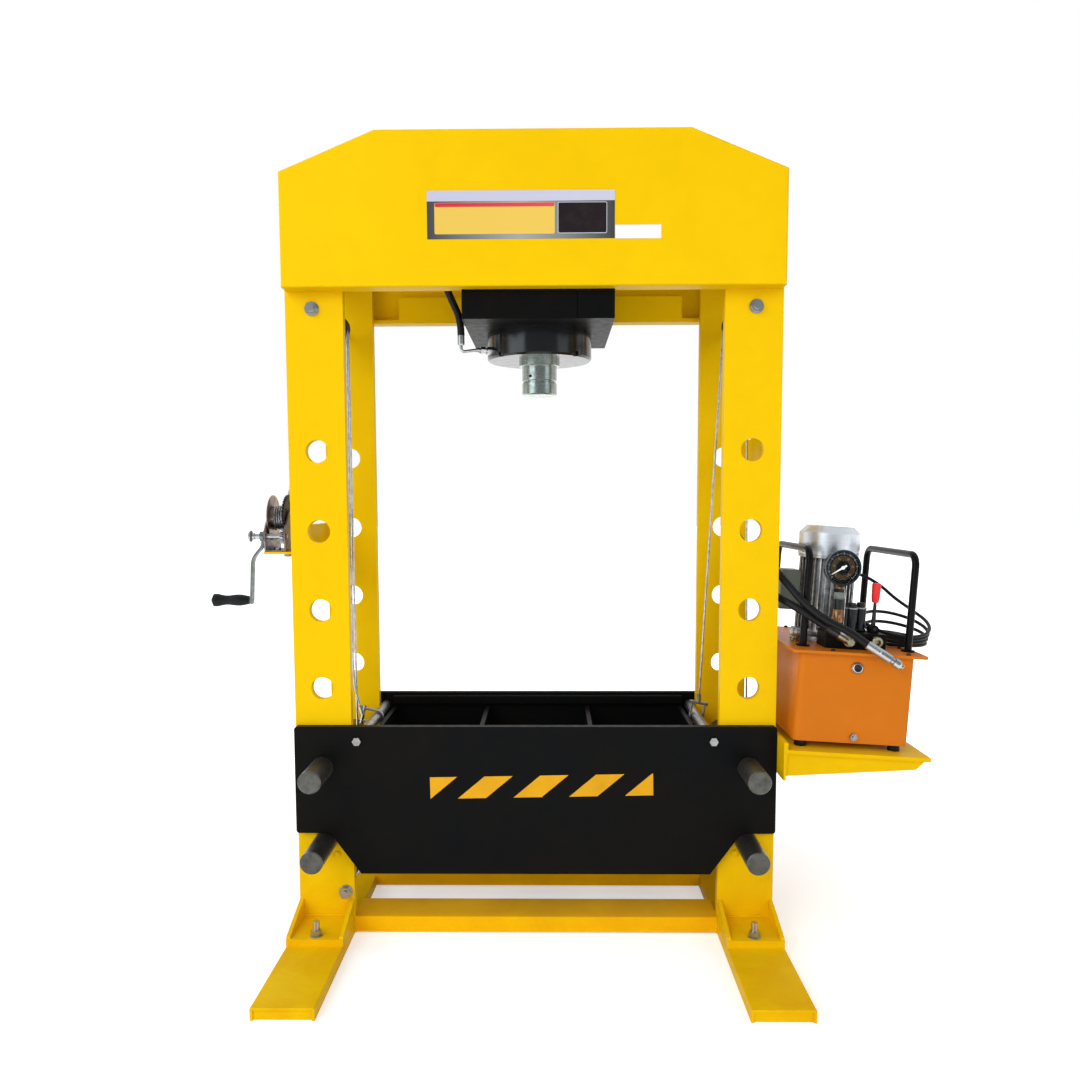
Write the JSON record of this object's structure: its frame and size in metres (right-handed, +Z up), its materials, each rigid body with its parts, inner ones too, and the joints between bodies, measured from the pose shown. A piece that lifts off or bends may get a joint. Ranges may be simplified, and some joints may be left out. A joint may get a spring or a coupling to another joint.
{
  "type": "hydraulic workshop press",
  "caption": "H-frame hydraulic press with a pinned bed, a hand winch with lifting ropes and an electric power pack.",
  "frame": {"origin": "on the floor, midway between the two columns and at half the frame's depth", "axes": "+X to the right seen from the front, towards the power pack; +Y to the back; +Z up. The ram moves along -Z"},
  "size_m": [1.9522, 1.224, 2.03],
  "materials": {
    "frame_paint": "gloss enamel",
    "black_paint": "semi-gloss enamel",
    "pin_steel": "turned, oiled",
    "ram_steel": "ground and turned",
    "zinc_steel": "zinc plated",
    "dark_steel": "blackened",
    "wire_rope": "greased strands",
    "tank_paint": "gloss enamel",
    "motor_paint": "cast and painted",
    "cowl_paint": "silver enamel",
    "fan_plastic": "moulded",
    "brass": "turned",
    "black_rubber": "smooth",
    "gauge_black": "moulded case",
    "needle_white": "painted",
    "knob_red": "moulded"
  },
  "bodies": {
    "press": {"beam_front": "frame_paint", "beam_rear": "frame_paint", "bar_front_left": "frame_paint", "bar_rear_left": "frame_paint", "bar_front_right": "frame_paint", "bar_rear_right": "frame_paint", "feet": "frame_paint", "column_ties": "frame_paint", "foot_shoes": "frame_paint", "cross_rails": "frame_paint", "shoe_bolts": "zinc_steel", "head_plate": "black_paint", "cylinder_barrel": "black_paint", "gland_ring": "ram_steel", "head_port": "zinc_steel", "bed_plate_front": "black_paint", "bed_plate_rear": "black_paint", "bed_webs": "black_paint", "bed_tie_rods": "pin_steel", "bed_pins": "pin_steel", "rope_left": "wire_rope", "rope_right": "wire_rope", "pulley_axles": "zinc_steel", "rope_shackles": "zinc_steel", "winch_shelf": "frame_paint", "winch_frame": "zinc_steel", "pack_shelf": "frame_paint", "oil_tank": "tank_paint", "tank_lid": "tank_paint", "tank_feet": "black_rubber", "pack_fittings": "brass", "carry_hoops": "black_paint", "motor_body": "motor_paint", "fan_cowl": "cowl_paint", "terminal_box": "motor_paint", "gauge_case": "gauge_black", "valve_block": "black_paint", "valve_cartridges": "dark_steel", "hose_front": "black_rubber", "hose_rear": "black_rubber", "hose_coupler": "zinc_steel", "lead_coil": "black_rubber", "power_lead": "black_rubber", "lead_plug": "black_rubber"},
    "ram": {"ram_rod": "ram_steel", "ram_nose": "ram_steel"},
    "drum": {"winch_drum": "zinc_steel", "drum_winding": "wire_rope", "drum_gear": "zinc_steel"},
    "crank": {"crank_shaft": "zinc_steel", "crank_arm": "zinc_steel"},
    "grip": {"crank_grip": "black_rubber"},
    "top_left_pulley": {"pulley_top_left": "dark_steel"},
    "top_right_pulley": {"pulley_top_right": "dark_steel"},
    "low_left_pulley": {"pulley_low_left": "dark_steel"},
    "low_right_pulley": {"pulley_low_right": "dark_steel"},
    "fan": {"motor_fan": "fan_plastic"},
    "needle": {"gauge_needle": "needle_white"},
    "lever": {"control_lever": "dark_steel", "lever_knob": "knob_red"}
  },
  "joints": [
    {"name": "ram_slide", "type": "slide", "parent": "press", "child": "ram", "axis": [0, 0, -1], "range_m": [0, 0.3]},
    {"name": "drum_turn", "type": "hinge", "parent": "press", "child": "drum", "pos_m": [-0.704, 0, 1.0945], "axis": [1, 0, 0], "continuous": true},
    {"name": "crank_turn", "type": "hinge", "parent": "press", "child": "crank", "pos_m": [-0.704, -0.06028, 1.045], "axis": [1, 0, 0], "continuous": true},
    {"name": "grip_spin", "type": "hinge", "parent": "crank", "child": "grip", "pos_m": [-0.788, -0.06028, 0.871], "axis": [1, 0, 0], "continuous": true},
    {"name": "top_left_pulley_spin", "type": "hinge", "parent": "press", "child": "top_left_pulley", "pos_m": [-0.554, 0.047, 1.618], "axis": [0, 1, 0], "continuous": true},
    {"name": "top_right_pulley_spin", "type": "hinge", "parent": "press", "child": "top_right_pulley", "pos_m": [0.554, 0.056, 1.618], "axis": [0, 1, 0], "continuous": true},
    {"name": "low_left_pulley_spin", "type": "hinge", "parent": "press", "child": "low_left_pulley", "pos_m": [-0.5, 0.056, 0.113], "axis": [0, 1, 0], "continuous": true},
    {"name": "low_right_pulley_spin", "type": "hinge", "parent": "press", "child": "low_right_pulley", "pos_m": [0.592, 0.056, 0.113], "axis": [0, 1, 0], "continuous": true},
    {"name": "fan_spin", "type": "hinge", "parent": "press", "child": "fan", "pos_m": [0.79542, -0.045, 1.00917], "axis": [0.0593, 0, 0.9982], "continuous": true},
    {"name": "needle_swing", "type": "hinge", "parent": "press", "child": "needle", "pos_m": [0.78289, -0.199, 0.96684], "axis": [0, 1, 0], "range_deg": [0, 270]},
    {"name": "lever_swing", "type": "hinge", "parent": "press", "child": "lever", "pos_m": [0.87551, -0.172, 0.80607], "axis": [0, 1, 0], "range_deg": [-16, 16], "stiffness_Nm_per_rad": 2}
  ],
  "couplings": [
    {"joint": "crank_turn", "follows": "drum_turn", "ratio": -3.3333},
    {"joint": "top_left_pulley_spin", "follows": "drum_turn", "ratio": 1.1687},
    {"joint": "top_right_pulley_spin", "follows": "drum_turn", "ratio": -1.1687},
    {"joint": "low_left_pulley_spin", "follows": "drum_turn", "ratio": -2.2},
    {"joint": "low_right_pulley_spin", "follows": "drum_turn", "ratio": -2.2}
  ]
}
